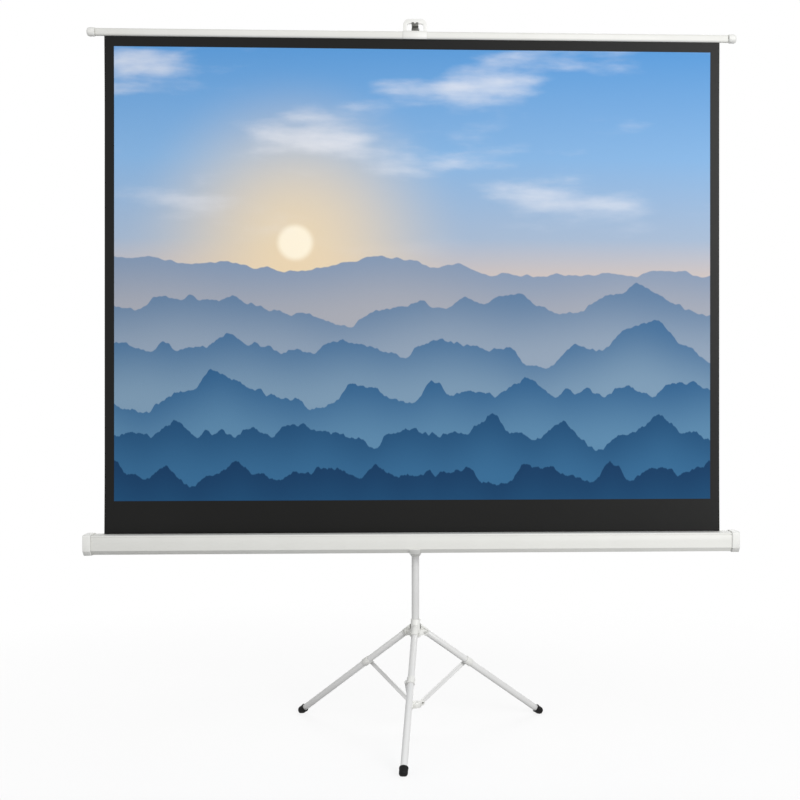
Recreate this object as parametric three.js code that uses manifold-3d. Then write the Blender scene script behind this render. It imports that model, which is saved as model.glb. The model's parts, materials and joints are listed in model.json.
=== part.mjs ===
// Tripod projection screen: a folding three-legged stand with a telescopic mast, and a
// spring-roller screen in a long metal case that slides on the column.
// Millimetres, +Z up. The picture faces -Y and the feet stand on z = 0.
import * as THREE from 'three';
import { mergeVertices } from 'three/addons/utils/BufferGeometryUtils.js';
import Module from 'manifold-3d';

const wasm = await Module();
wasm.setup();
const radians = THREE.MathUtils.degToRad;

// Clearances, a length greater than the whole object, and the facets round a piece
const runningGap = 0.3;
const slideGap = 0.3;
const mastGap = 0.5;
const reach = 4000;
const tubeSides = 24;
const fittingSides = 20;
const pinSides = 14;

// Screen cloth
const pictureWidth = 1707;
const pictureHeight = 1292;
const sideBorder = 27;
const topBorder = 29;
const bottomBorder = 93;
const clothThickness = 0.8;
const hemDepth = 5;
const hemLift = 0.75;
const hemHeight = 8;

// Case, its wall and its end caps
const caseOverhang = 50;
const caseHeight = 55;
const caseDepth = 58;
const caseWall = 1.6;
const caseRadius = 3;
const caseChamfer = 12;
const caseCrown = 1.2;
const caseCenterZ = 557.5;
const caseSlot = 7;
const grooveDrop = 5.5;
const grooveHeight = 1.6;
const grooveDepth = 0.6;
const capWall = 2;
const capPlate = 6;
const capSkirt = 16;
const capEdge = 2;
const capBossRadius = 11;
const capBossLength = 12;

// Roller, its spring motor and its bearings
const rollBuild = 1.2;
const rollerRadius = 12.5;
const rollerWall = 0.8;
const rollerEndGap = 4;
const plugLength = 24;
const plugFlange = 5;
const arborRadius = 4;
const arborLength = 330;
const idlePinLength = 34;
const shaftSeat = 8;
const springTurns = 20;
const springPitch = 9;
const springWire = 1.2;
const springGap = 0.8;

// Top slat and its bail
const slatOverhang = 49;
const slatHeight = 22;
const slatDepth = 14;
const slatWall = 1.6;
const slatFlat = 1;
const slatSlit = 2.4;
const slatCapLength = 23;
const slatCapWall = 1.6;
const slatCapEdge = 1;
const slatCapDome = 7;
const slatCapSeat = 14;
const bailWidth = 68;
const bailHeight = 36;
const bailCrown = 14;
const bailBand = 10;
const bailShoulder = 18;
const bailThickness = 7;
const bailClip = 1.8;
const bailLip = 1.5;

// Column, mast and hook
const columnRadius = 11;
const columnWall = 1.2;
const columnTop = 1205;
const mastWall = 1;
const mastOverlap = 113;
const mastGuideLength = 30;
const mastGuideFlange = 8;
const collarWall = 3.7;
const collarHeight = 30;
const collarLip = 4;
const collarEdge = 1.5;
const hookWidth = 19;
const hookWall = 1.8;
const hookRoof = 3;
const hookCapHeight = 20;
const hookArmHeight = 7;
const hookLip = 3;
const hookLipRise = 3.5;
const hookNotch = 7;
const hookWebGap = 2.5;

// Carriage that holds the case on the column
const carriageNose = 16.4;
const carriageWall = 5.7;
const carriageToeWall = 0.9;
const carriageUp = 24;
const carriageDown = 47.5;
const carriageTaper = 8;
const carriageEdge = 2;
const carriageBlockWidth = 34;
const carriageBlockUp = 22;
const carriageBlockDown = 26;
const carriageBossReach = 13;
const saddleWidth = 30;
const saddleWall = 3.2;
const saddleRise = 20;
const saddlePadRadius = 14;
const saddlePadThickness = 4.5;
const pivotBoltRadius = 4;
const pivotHeadRadius = 8;
const pivotHeadHeight = 3;
const pivotBoltReach = 12;

// Clamp knobs
const knobRadius = 11;
const knobLobe = 1.1;
const knobLobes = 6;
const knobDepth = 12;
const knobScrewRadius = 3;
const knobBossRadius = 8;
const knobBossReach = 11;

// Leg set
const tripodTurn = 3;
const legCount = 3;
const legNames = ['front', 'right', 'left'];
const braceSides = [-1, 1, -1];
const pivotStandoff = 10.5;
const hubPivotHeight = 288;
const braceLink = 179;
const braceAngle = 54.2;
const legAngle = 54.2;
const clampOffset = 4;
const legRadius = 9.5;
const legWall = 1;

// Hub
const hubBelow = 12;
const hubFloor = 3;
const hubWall = 2.2;
const hubStep = 2;
const hubEdge = 1.5;
const hubBodyHeight = 21;
const hubBodyTaper = 4;
const hubKnobGap = 4.8;
const hubRim = 2;
const earThickness = 4;
const earRadius = 8;
const tongueWidth = 13.4;
const hubPinRadius = 2.5;
const hubPinHead = 4.6;
const hubPinHeadHeight = 2;
const hubPinEdge = 0.6;

// Leg fittings
const knuckleLip = 1;
const knuckleEye = 7;
const knuckleCollar = 12;
const spigotLength = 28;
const clampWall = 1.8;
const clampLength = 22;
const clampBossRadius = 6.5;
const clampBossStand = 1.2;
const footWall = 2;
const footSkirt = 12;
const footFloor = 5;
const footTip = 13;
const footRibHeight = 0.8;
const footRibWidth = 3;
const footToe = 6;

// Braces, rivets and spreader
const braceHalfWidth = 6.5;
const braceThickness = 2.6;
const braceRibHalfWidth = 2.6;
const braceRibHeight = 1.4;
const braceRibInset = 15;
const rivetRadius = 2.5;
const rivetHeadRadius = 4.6;
const rivetHeadHeight = 1.9;
const rivetHeadEdge = 0.5;
const rivetReach = 3.2;
const spreaderRadius = 17;
const spreaderBore = 9;
const spreaderHeight = 14;
const lugThickness = 8;
const lugRadius = 7;

// Radii that follow from the tubes and their clearances
const mastRadius = columnRadius - columnWall - mastGap;
const columnFit = columnRadius + slideGap;
const hubSleeveRadius = columnFit + hubWall;
const hubBodyRadius = hubSleeveRadius + hubStep;
const collarRadius = columnFit + collarWall;
const carriageRadius = columnFit + carriageWall;
const carriageToe = columnFit + carriageToeWall;
const hookCapRadius = mastRadius + slideGap + hookWall;
const legFit = legRadius + slideGap;
const knuckleRadius = legRadius + knuckleLip;
const clampRadius = legFit + clampWall;
const clampBossReach = clampRadius + clampBossStand;
const footRadius = legFit + footWall;
const rollRadius = rollerRadius + runningGap + rollBuild;
const springRadius = arborRadius + springGap + springWire;
const slatCapRadius = slatHeight / 2 + slideGap + slatCapWall;

// Places that follow from the sizes above
const clothWidth = pictureWidth + 2 * sideBorder;
const clothHeight = topBorder + pictureHeight + bottomBorder;
const caseLength = clothWidth + 2 * caseOverhang;
const slatLength = clothWidth + 2 * slatOverhang;
const carriageFront = -columnRadius - carriageNose;
const padBack = carriageFront - runningGap;
const saddleBack = padBack - saddlePadThickness;
const saddleFront = saddleBack - saddleWall;
const caseY = saddleFront - slideGap - caseDepth / 2;
const clothY = caseY + rollRadius + runningGap + clothThickness / 2;
const caseTop = caseCenterZ + caseHeight / 2;
const slatBottom = caseTop + clothHeight;
const slatTop = slatBottom + slatHeight;
const bailTop = slatTop + bailHeight;
const hookTop = bailTop - bailCrown - runningGap;
const mastBottom = columnTop - mastOverlap;
const pivotRadius = hubBodyRadius + pivotStandoff;
const legDrop = radians(90 - legAngle);
const hubOffset = clampOffset + braceLink * Math.sin(radians(braceAngle - legAngle));
const knuckleTop = hubOffset + knuckleRadius;
const knuckleRun = pivotStandoff - runningGap + knuckleTop * Math.sin(legDrop);
const knuckleRise = knuckleRun * Math.tan(legDrop) + knuckleTop * Math.cos(legDrop);
const hubBottom = hubPivotHeight - hubBelow;
const hubKnobHeight = hubPivotHeight + knuckleRise + hubKnobGap;
const hubTop = hubKnobHeight + knobBossRadius + hubRim;
const columnBottom = hubBottom + hubFloor + runningGap;
const clampAlong = braceLink * Math.cos(radians(braceAngle - legAngle));
const spreaderZ = hubPivotHeight - 2 * braceLink * Math.cos(radians(braceAngle));
const braceInner = clampBossReach + runningGap;
const braceOuter = braceInner + braceThickness;

const materials = {
  whitePaint: new THREE.MeshStandardMaterial({ color: 0xdedede, roughness: 0.35, metalness: 0.1 }),
  caseWhite: new THREE.MeshStandardMaterial({ color: 0xe0e0dc, roughness: 0.4, metalness: 0.1 }),
  whitePlastic: new THREE.MeshStandardMaterial({ color: 0xe8e8e4, roughness: 0.5, metalness: 0 }),
  greyPlastic: new THREE.MeshStandardMaterial({ color: 0x6e6e68, roughness: 0.5, metalness: 0 }),
  blackPlastic: new THREE.MeshStandardMaterial({ color: 0x242424, roughness: 0.5, metalness: 0 }),
  rubber: new THREE.MeshStandardMaterial({ color: 0x1f1f1f, roughness: 0.8, metalness: 0 }),
  steel: new THREE.MeshStandardMaterial({ color: 0xb4b4b0, roughness: 0.3, metalness: 1 }),
  cloth: new THREE.MeshStandardMaterial({ color: 0xeeeeee, roughness: 0.9, metalness: 0 }),
};

// Solids: three.js geometry in, booleans by the solid library, three.js geometry out
function solid(geometry) {
  const bare = geometry.clone();
  bare.deleteAttribute('normal');
  bare.deleteAttribute('uv');
  const merged = mergeVertices(bare, 1e-4);
  const vertProperties = new Float32Array(merged.attributes.position.array);
  const triVerts = new Uint32Array(merged.index.array);
  return new wasm.Manifold(new wasm.Mesh({ numProp: 3, vertProperties, triVerts }));
}

function geometryOf(body) {
  const mesh = body.getMesh();
  const geometry = new THREE.BufferGeometry();
  geometry.setAttribute('position', new THREE.BufferAttribute(new Float32Array(mesh.vertProperties), 3));
  geometry.setIndex(new THREE.BufferAttribute(new Uint32Array(mesh.triVerts), 1));
  geometry.computeVertexNormals();
  return geometry;
}

function join(...geometries) {
  return geometries.map(solid).reduce((whole, next) => whole.add(next));
}

function cut(body, ...geometries) {
  return geometries.map(solid).reduce((whole, next) => whole.subtract(next), body);
}

// Geometry helpers, each placed straight in the frame of the piece that uses it
const axisTurns = {
  x: new THREE.Matrix4().makeRotationZ(-Math.PI / 2),
  y: new THREE.Matrix4(),
  z: new THREE.Matrix4().makeRotationX(Math.PI / 2),
};

function rod(axis, radius, from, to, sides = fittingSides) {
  const low = Math.min(from, to);
  const high = Math.max(from, to);
  const geometry = new THREE.CylinderGeometry(radius, radius, high - low, sides);
  geometry.translate(0, (low + high) / 2, 0);
  return geometry.applyMatrix4(axisTurns[axis]);
}

function revolve(axis, profile, sides = fittingSides) {
  const points = profile.map(([radius, along]) => new THREE.Vector2(radius, along));
  return new THREE.LatheGeometry(points, sides).applyMatrix4(axisTurns[axis]);
}

function tube(axis, outer, inner, from, to, sides = tubeSides) {
  return revolve(axis, [[inner, from], [outer, from], [outer, to], [inner, to], [inner, from]], sides);
}

function box(x, y, z) {
  const geometry = new THREE.BoxGeometry(x[1] - x[0], y[1] - y[0], z[1] - z[0]);
  return geometry.translate((x[0] + x[1]) / 2, (y[0] + y[1]) / 2, (z[0] + z[1]) / 2);
}

// A section drawn in Y and Z, drawn out along X
function alongX(shape, from, to, bevel = 0) {
  const geometry = new THREE.ExtrudeGeometry(shape, {
    depth: to - from - 2 * bevel,
    bevelEnabled: bevel > 0,
    bevelSize: bevel,
    bevelOffset: -bevel,
    bevelThickness: bevel,
    bevelSegments: 2,
    curveSegments: 4,
  });
  const turn = new THREE.Matrix4().makeBasis(
    new THREE.Vector3(0, 1, 0),
    new THREE.Vector3(0, 0, 1),
    new THREE.Vector3(1, 0, 0),
  );
  return geometry.applyMatrix4(turn).translate(from + bevel, 0, 0);
}

// A section drawn in X and Z, drawn out along Y
function alongY(shape, from, to, segments = 6) {
  const low = Math.min(from, to);
  const high = Math.max(from, to);
  const geometry = new THREE.ExtrudeGeometry(shape, {
    depth: high - low,
    bevelEnabled: false,
    curveSegments: segments,
  });
  return geometry.rotateX(Math.PI / 2).translate(0, high, 0);
}

// A bar with round ends between two points on X, with eyes of a given hole radius
function linkShape(start, end, halfWidth, hole = 0) {
  const shape = new THREE.Shape();
  shape.absarc(start, 0, halfWidth, Math.PI / 2, Math.PI * 1.5, false);
  shape.absarc(end, 0, halfWidth, -Math.PI / 2, Math.PI / 2, false);
  shape.closePath();
  if (hole > 0) {
    for (const centre of [start, end]) {
      const eye = new THREE.Path();
      eye.absarc(centre, 0, hole, 0, Math.PI * 2, true);
      shape.holes.push(eye);
    }
  }
  return shape;
}

function add(group, name, body, material) {
  const geometry = body instanceof THREE.BufferGeometry ? body : geometryOf(body);
  const mesh = new THREE.Mesh(geometry, material);
  mesh.name = name;
  group.add(mesh);
  return mesh;
}

function groupAt(parent, x = 0, y = 0, z = 0) {
  const group = new THREE.Group();
  group.position.set(x, y, z);
  parent.add(group);
  return group;
}

// A lobed hand knob on a clamp screw along +Y, from the screw's tip outwards
function clampKnob(tip, boss) {
  const steps = 6 * knobLobes;
  const points = Array.from({ length: steps }, (_, step) => {
    const angle = (2 * Math.PI * step) / steps;
    const radius = knobRadius + knobLobe * Math.cos(knobLobes * angle);
    return new THREE.Vector2(radius * Math.cos(angle), radius * Math.sin(angle));
  });
  const start = boss + runningGap;
  const head = alongY(new THREE.Shape(points), start, start + knobDepth);
  const screw = rod('y', knobScrewRadius, tip, start + knobDepth / 2, pinSides);
  return join(head, screw);
}

// A rivet along Y on one side of the leg plane, its head outside
function rivet(side) {
  const shankEnd = braceOuter + runningGap;
  const head = shankEnd + rivetHeadHeight;
  const profile = [
    [0, clampBossReach - rivetReach],
    [rivetRadius, clampBossReach - rivetReach],
    [rivetRadius, shankEnd],
    [rivetHeadRadius, shankEnd],
    [rivetHeadRadius * 0.8, head - rivetHeadEdge],
    [0, head],
  ];
  const geometry = revolve('y', profile, pinSides);
  return side > 0 ? geometry : geometry.rotateX(Math.PI);
}

// Stand: the hub with its clevises, three legs, three braces and the spreader
function hubSolid() {
  const bodyTop = hubBottom + hubBodyHeight;
  const shell = revolve('z', [
    [0, hubBottom],
    [hubBodyRadius - hubEdge, hubBottom],
    [hubBodyRadius, hubBottom + hubEdge],
    [hubBodyRadius, bodyTop],
    [hubSleeveRadius, bodyTop + hubBodyTaper],
    [hubSleeveRadius, hubTop],
    [0, hubTop],
  ], tubeSides);
  const pieces = [shell];
  const holes = [rod('z', columnFit, hubBottom + hubFloor, hubTop + 1, tubeSides)];
  const earRoot = columnRadius - 1;
  const ear = new THREE.Shape();
  ear.moveTo(earRoot, hubPivotHeight - earRadius);
  ear.lineTo(pivotRadius, hubPivotHeight - earRadius);
  ear.absarc(pivotRadius, hubPivotHeight, earRadius, -Math.PI / 2, Math.PI / 2, false);
  ear.lineTo(earRoot, hubPivotHeight + earRadius);
  ear.closePath();
  const earInner = tongueWidth / 2 + runningGap;
  const earOuter = earInner + earThickness;
  for (let leg = 0; leg < legCount; leg += 1) {
    const turn = (leg * 2 * Math.PI) / legCount;
    for (const side of [-1, 1]) {
      pieces.push(alongY(ear, side * earInner, side * earOuter, 5).rotateZ(turn));
    }
    const bore = rod('y', hubPinRadius + runningGap, -earOuter - 1, earOuter + 1, pinSides);
    holes.push(bore.translate(pivotRadius, 0, hubPivotHeight).rotateZ(turn));
  }
  const bossEnd = columnRadius + knobBossReach;
  pieces.push(rod('x', knobBossRadius, -bossEnd, -columnRadius).translate(0, 0, hubKnobHeight));
  const screwBore = rod('x', knobScrewRadius + runningGap, -bossEnd - 1, -columnRadius + 2, pinSides);
  holes.push(screwBore.translate(0, 0, hubKnobHeight));
  return cut(join(...pieces), ...holes);
}

function hubPin() {
  const half = tongueWidth / 2 + runningGap + earThickness + runningGap;
  const end = half + hubPinHeadHeight;
  return revolve('y', [
    [0, -end],
    [hubPinHead - hubPinEdge, -end],
    [hubPinHead, -end + hubPinEdge],
    [hubPinHead, -half],
    [hubPinRadius, -half],
    [hubPinRadius, half],
    [hubPinHead, half],
    [hubPinHead, end - hubPinEdge],
    [hubPinHead - hubPinEdge, end],
    [0, end],
  ], pinSides);
}

// Leg frame: origin on the hub pivot, X down the leg, Z square to it, outwards and up.
// The knuckle's head reaches up to the hub, and its tongue hangs between the hub's ears.
function knuckleSolid() {
  const half = tongueWidth / 2;
  const clear = earRadius + 2 * runningGap;
  const low = hubOffset - knuckleRadius;
  const head = rod('x', knuckleRadius, -pivotRadius, knuckleCollar).translate(0, 0, hubOffset);
  const sideCuts = [-1, 1].map((side) => {
    const edges = [side * half, side * 2 * knuckleRadius].sort((a, b) => a - b);
    return box([-2 * pivotRadius, clear], edges, [-2 * knuckleRadius, clear]);
  });
  const tongue = new THREE.Shape();
  tongue.absarc(0, 0, knuckleEye, Math.PI, Math.PI * 1.5, false);
  tongue.lineTo(knuckleCollar, low);
  tongue.lineTo(knuckleCollar, hubOffset);
  tongue.lineTo(-knuckleEye, hubOffset);
  tongue.closePath();
  const spigotRadius = legRadius - legWall - slideGap;
  const spigot = rod('x', spigotRadius, knuckleCollar - 2, knuckleCollar + spigotLength);
  const whole = cut(join(head), ...sideCuts)
    .add(join(alongY(tongue, -half, half), spigot.translate(0, 0, hubOffset)));
  const hubSpace = rod('z', hubBodyRadius + runningGap, -hubPivotHeight, hubPivotHeight, tubeSides);
  hubSpace.translate(-pivotRadius, 0, 0).rotateY(-legDrop);
  const pinBore = rod('y', hubPinRadius + runningGap, -tongueWidth, tongueWidth, pinSides);
  return cut(whole, hubSpace, pinBore);
}

function legTube(end) {
  const from = knuckleCollar + runningGap;
  return tube('x', legRadius, legRadius - legWall, from, end, fittingSides).translate(0, 0, hubOffset);
}

function legClampSolid(side) {
  const from = clampAlong - clampLength / 2;
  const to = clampAlong + clampLength / 2;
  const band = rod('x', clampRadius, from, to).translate(0, 0, hubOffset);
  const pivotZ = hubOffset - clampOffset;
  const boss = rod('y', clampBossRadius, 0, side * clampBossReach).translate(clampAlong, 0, pivotZ);
  const bore = rod('x', legFit, from - 1, to + 1).translate(0, 0, hubOffset);
  const boreEnd = side * (clampBossReach + 1);
  const pinBore = rod('y', rivetRadius + runningGap, side * legRadius / 2, boreEnd, pinSides);
  return cut(join(band, boss), bore, pinBore.translate(clampAlong, 0, pivotZ));
}

function footSolid(tubeEnd) {
  const start = tubeEnd - footSkirt;
  const tip = tubeEnd + footTip;
  const sleeve = revolve('x', [
    [0, start],
    [footRadius, start],
    [footRadius + footRibHeight, start + 1],
    [footRadius + footRibHeight, start + footRibWidth],
    [footRadius, start + footRibWidth + 1],
    [footRadius, tip - footToe],
    [footRadius - footToe / 3, tip - footToe / 3],
    [footRadius - footToe, tip],
    [0, tip],
  ]).translate(0, 0, hubOffset);
  const bore = rod('x', legFit, start - 1, tubeEnd + runningGap).translate(0, 0, hubOffset);
  const floor = box([-reach, reach], [-reach, reach], [-2 * reach, 0]);
  floor.translate(0, 0, -hubPivotHeight).rotateY(-legDrop);
  return cut(join(sleeve), bore, floor);
}

// Where the leg tube ends, so that its lowest edge stays above the sole
function legTubeEnd() {
  const lowestSide = hubOffset - legFit;
  const floorAlong = (hubPivotHeight + lowestSide * Math.cos(legDrop)) / Math.sin(legDrop);
  return floorAlong - footFloor;
}

function braceSolid(side) {
  const bar = linkShape(0, braceLink, braceHalfWidth, rivetRadius + runningGap);
  const rib = linkShape(braceRibInset, braceLink - braceRibInset, braceRibHalfWidth);
  const plate = alongY(bar, side * braceInner, side * braceOuter, 7);
  const ridge = alongY(rib, side * (braceOuter - 1), side * (braceOuter + braceRibHeight), 4);
  return join(plate, ridge);
}

function spreaderSolid(turns) {
  const half = spreaderHeight / 2;
  const ring = rod('z', spreaderRadius, -half, half, tubeSides);
  const lug = linkShape(spreaderRadius / 2, pivotRadius, lugRadius);
  const pieces = [ring];
  const holes = [rod('z', spreaderBore, -half - 1, half + 1)];
  turns.forEach((turn, leg) => {
    const side = braceSides[leg];
    const outer = side * clampBossReach;
    const inner = side * (clampBossReach - lugThickness);
    pieces.push(alongY(lug, inner, outer).rotateZ(turn));
    const bore = rod('y', rivetRadius + runningGap, inner - side, outer + side, pinSides);
    holes.push(bore.translate(pivotRadius, 0, 0).rotateZ(turn));
  });
  return cut(join(...pieces), ...holes);
}

function buildStand(root) {
  const stand = groupAt(root);
  const frontTurn = radians(-90 - tripodTurn);
  const legTurns = [0, 1, -1].map((step) => (step * 2 * Math.PI) / legCount);
  stand.rotation.z = frontTurn;
  add(stand, 'leg_hub', hubSolid(), materials.whitePlastic);
  const hubKnobMount = groupAt(stand, 0, 0, hubKnobHeight);
  hubKnobMount.rotation.z = Math.PI / 2;
  const knobTip = columnRadius + runningGap;
  add(hubKnobMount, 'hub_knob', clampKnob(knobTip, columnRadius + knobBossReach), materials.blackPlastic);
  legTurns.forEach((turn, index) => {
    const name = legNames[index];
    const side = braceSides[index];
    const radial = groupAt(stand);
    radial.rotation.z = turn;
    const leg = groupAt(radial, pivotRadius, 0, hubPivotHeight);
    add(leg, `hub_pin_${name}`, hubPin(), materials.steel);
    leg.rotation.y = legDrop;
    const tubeEnd = legTubeEnd();
    add(leg, `leg_knuckle_${name}`, knuckleSolid(), materials.whitePlastic);
    add(leg, `leg_tube_${name}`, legTube(tubeEnd), materials.whitePaint);
    add(leg, `leg_clamp_${name}`, legClampSolid(side), materials.whitePlastic);
    add(leg, `rubber_foot_${name}`, footSolid(tubeEnd), materials.rubber);
    const clampPin = add(leg, `brace_pin_${name}`, rivet(side), materials.steel);
    clampPin.position.set(clampAlong, 0, hubOffset - clampOffset);
    const run = braceLink * Math.sin(radians(braceAngle));
    const drop = braceLink * Math.cos(radians(braceAngle));
    const brace = groupAt(radial, pivotRadius + run, 0, hubPivotHeight - drop);
    brace.rotation.y = radians(90 + braceAngle);
    add(brace, `brace_${name}`, braceSolid(side), materials.whitePaint);
    const pin = add(radial, `spreader_pin_${name}`, rivet(side), materials.steel);
    pin.position.set(pivotRadius, 0, spreaderZ);
  });
  const spreader = add(stand, 'spreader', spreaderSolid(legTurns), materials.whitePlastic);
  spreader.position.z = spreaderZ;
}

// Column with its top collar, and the mast that slides in it with the hook on top
function buildColumn(root) {
  const column = groupAt(root);
  const collarBottom = columnTop - collarHeight;
  const tubeTop = columnTop - collarLip - runningGap;
  const screwHeight = columnTop - collarHeight / 2;
  const wallBore = rod('y', knobScrewRadius + runningGap, 0, 2 * columnRadius, pinSides);
  wallBore.translate(0, 0, screwHeight);
  const columnTube = tube('z', columnRadius, columnRadius - columnWall, columnBottom, tubeTop);
  add(column, 'column_tube', cut(solid(columnTube), wallBore), materials.whitePaint);

  const neck = mastRadius + slideGap;
  const ring = solid(revolve('z', [
    [columnFit, collarBottom],
    [collarRadius, collarBottom],
    [collarRadius, columnTop - collarEdge],
    [collarRadius - collarEdge, columnTop],
    [neck, columnTop],
    [neck, columnTop - collarLip],
    [columnFit, columnTop - collarLip],
    [columnFit, collarBottom],
  ], tubeSides));
  const bossEnd = columnRadius + knobBossReach;
  const boss = rod('y', knobBossRadius, columnRadius + 1, bossEnd).translate(0, 0, screwHeight);
  const bore = rod('y', knobScrewRadius + runningGap, 0, bossEnd + 1, pinSides).translate(0, 0, screwHeight);
  add(column, 'column_collar', cut(ring.add(solid(boss)), bore), materials.whitePlastic);
  const knobMount = groupAt(column, 0, 0, screwHeight);
  add(knobMount, 'mast_knob', clampKnob(mastRadius + runningGap, bossEnd), materials.blackPlastic);
}

function hookSolid() {
  const bottom = hookTop - hookCapHeight;
  const cap = rod('z', hookCapRadius, bottom, hookTop, tubeSides);
  const half = hookWidth / 2;
  const tip = clothY - bailThickness / 2 - runningGap - hookLip;
  const armBottom = hookTop - hookArmHeight;
  const arm = box([-half, half], [tip, 0], [armBottom, hookTop]);
  const lipTop = hookTop + hookLipRise;
  const lip = new THREE.Shape();
  lip.moveTo(-half, armBottom);
  lip.lineTo(half, armBottom);
  lip.lineTo(half, lipTop);
  lip.lineTo(hookNotch / 2, lipTop);
  lip.lineTo(0, lipTop - hookNotch);
  lip.lineTo(-hookNotch / 2, lipTop);
  lip.lineTo(-half, lipTop);
  lip.closePath();
  const lipPlate = alongY(lip, tip, tip + hookLip);
  const webFront = clothY + slatDepth / 2 + slideGap + bailClip + 2 * runningGap;
  const webBottom = slatTop + bailClip + hookWebGap;
  const web = new THREE.Shape();
  web.moveTo(webFront, webBottom);
  web.lineTo(webFront + hookLip, webBottom);
  web.lineTo(-hookCapRadius + 2, armBottom + 1);
  web.lineTo(webFront, armBottom + 1);
  web.closePath();
  const socket = rod('z', mastRadius + slideGap, bottom - 1, hookTop - hookRoof, tubeSides);
  const whole = join(cap, arm, lipPlate, alongX(web, -half, half));
  return cut(whole, socket);
}

function buildMast(root) {
  const mast = groupAt(root);
  const top = hookTop - hookRoof - runningGap;
  const shell = tube('z', mastRadius, mastRadius - mastWall, mastBottom, top);
  add(mast, 'mast_tube', shell, materials.whitePaint);
  const flangeRadius = columnRadius - columnWall - slideGap;
  const plugRadius = mastRadius - mastWall - slideGap;
  const flangeTop = mastBottom - runningGap;
  const flangeBottom = flangeTop - mastGuideFlange;
  const guide = join(
    rod('z', flangeRadius, flangeBottom, flangeTop, tubeSides),
    rod('z', plugRadius, flangeBottom, flangeBottom + mastGuideLength, tubeSides),
  );
  add(mast, 'mast_guide', guide, materials.blackPlastic);
  add(mast, 'mast_hook', hookSolid(), materials.greyPlastic);
}

// Case section in Y and Z about its own centre, grown or shrunk evenly all round.
// The front has a shallow crease at mid height, and both lower edges are bevelled.
function caseOutline(grow) {
  const side = caseDepth / 2 + grow;
  const end = caseHeight / 2 + grow;
  const round = caseRadius + grow;
  const chamfer = caseChamfer + grow * (2 - Math.SQRT2);
  const front = caseCrown - side;
  const shape = new THREE.Shape();
  shape.moveTo(front + round, end);
  shape.lineTo(side - round, end);
  shape.absarc(side - round, end - round, round, Math.PI / 2, 0, true);
  shape.lineTo(side, -end + chamfer);
  shape.lineTo(side - chamfer, -end);
  shape.lineTo(front + chamfer, -end);
  shape.lineTo(front, -end + chamfer);
  shape.lineTo(-side, (chamfer - round) / 2);
  shape.lineTo(front, end - round);
  shape.absarc(front + round, end - round, round, Math.PI, Math.PI / 2, true);
  return shape;
}

function caseBodySolid(half) {
  const outer = solid(alongX(caseOutline(0), -half, half));
  const inner = alongX(caseOutline(-caseWall), -half - 1, half + 1);
  const slotY = clothY - caseY;
  const slot = box(
    [-half - 1, half + 1],
    [slotY - caseSlot / 2, slotY + caseSlot / 2],
    [0, caseHeight],
  );
  const grooveZ = caseHeight / 2 - grooveDrop;
  const groove = box(
    [-half - 1, half + 1],
    [-caseDepth, caseCrown - caseDepth / 2 + grooveDepth],
    [grooveZ - grooveHeight / 2, grooveZ + grooveHeight / 2],
  );
  return cut(outer, inner, slot, groove);
}

function endCapSolid(side, bodyHalf) {
  const outerEnd = caseLength / 2;
  const innerEnd = bodyHalf - capSkirt;
  const skirt = caseOutline(slideGap + capWall);
  const rounded = solid(alongX(skirt, innerEnd, outerEnd, capEdge));
  const square = solid(alongX(skirt, innerEnd, innerEnd + 2 * capEdge));
  const pocket = alongX(caseOutline(slideGap), innerEnd - 1, bodyHalf + runningGap);
  const bossStart = bodyHalf - capBossLength;
  const bossEnd = outerEnd - capPlate / 2;
  const boss = rod('x', capBossRadius, bossStart, bossEnd);
  const bore = rod('x', arborRadius + runningGap, bossStart - 1, bossEnd, pinSides);
  const cap = cut(cut(rounded.add(square), pocket).add(solid(boss)), bore);
  return side > 0 ? cap : cap.mirror([1, 0, 0]);
}

// Round wire in one unbroken helix along X
function springGeometry(start) {
  const stepsPerTurn = 8;
  const sides = 5;
  const steps = springTurns * stepsPerTurn;
  const positions = [];
  const indices = [];
  const centres = [];
  const rise = springPitch / (2 * Math.PI);
  for (let step = 0; step <= steps; step += 1) {
    const angle = (2 * Math.PI * step) / stepsPerTurn;
    const outward = new THREE.Vector3(0, Math.cos(angle), Math.sin(angle));
    const centre = outward.clone().multiplyScalar(springRadius);
    centre.x = start + rise * angle;
    centres.push(centre);
    const tangent = new THREE.Vector3(rise, -springRadius * Math.sin(angle), springRadius * Math.cos(angle));
    const across = tangent.normalize().clone().cross(outward);
    for (let side = 0; side < sides; side += 1) {
      const turn = (2 * Math.PI * side) / sides;
      const point = centre.clone();
      point.addScaledVector(outward, springWire * Math.cos(turn));
      point.addScaledVector(across, springWire * Math.sin(turn));
      positions.push(point.x, point.y, point.z);
    }
  }
  const ring = (step, side) => step * sides + (side % sides);
  for (let step = 0; step < steps; step += 1) {
    for (let side = 0; side < sides; side += 1) {
      indices.push(ring(step, side), ring(step, side + 1), ring(step + 1, side));
      indices.push(ring(step + 1, side), ring(step, side + 1), ring(step + 1, side + 1));
    }
  }
  for (let side = 1; side < sides - 1; side += 1) {
    indices.push(ring(0, 0), ring(0, side + 1), ring(0, side));
    indices.push(ring(steps, 0), ring(steps, side), ring(steps, side + 1));
  }
  let least = Infinity;
  for (let first = 0; first + stepsPerTurn / 2 < centres.length; first += 1) {
    const last = Math.min(centres.length - 1, first + 2 * stepsPerTurn);
    for (let second = first + stepsPerTurn / 2; second <= last; second += 1) {
      least = Math.min(least, centres[first].distanceTo(centres[second]));
    }
  }
  console.log(`roller spring: least gap to itself ${(least - 2 * springWire).toFixed(2)} mm`);
  const geometry = new THREE.BufferGeometry();
  geometry.setAttribute('position', new THREE.Float32BufferAttribute(positions, 3));
  geometry.setIndex(indices);
  geometry.computeVertexNormals();
  return geometry;
}

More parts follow.
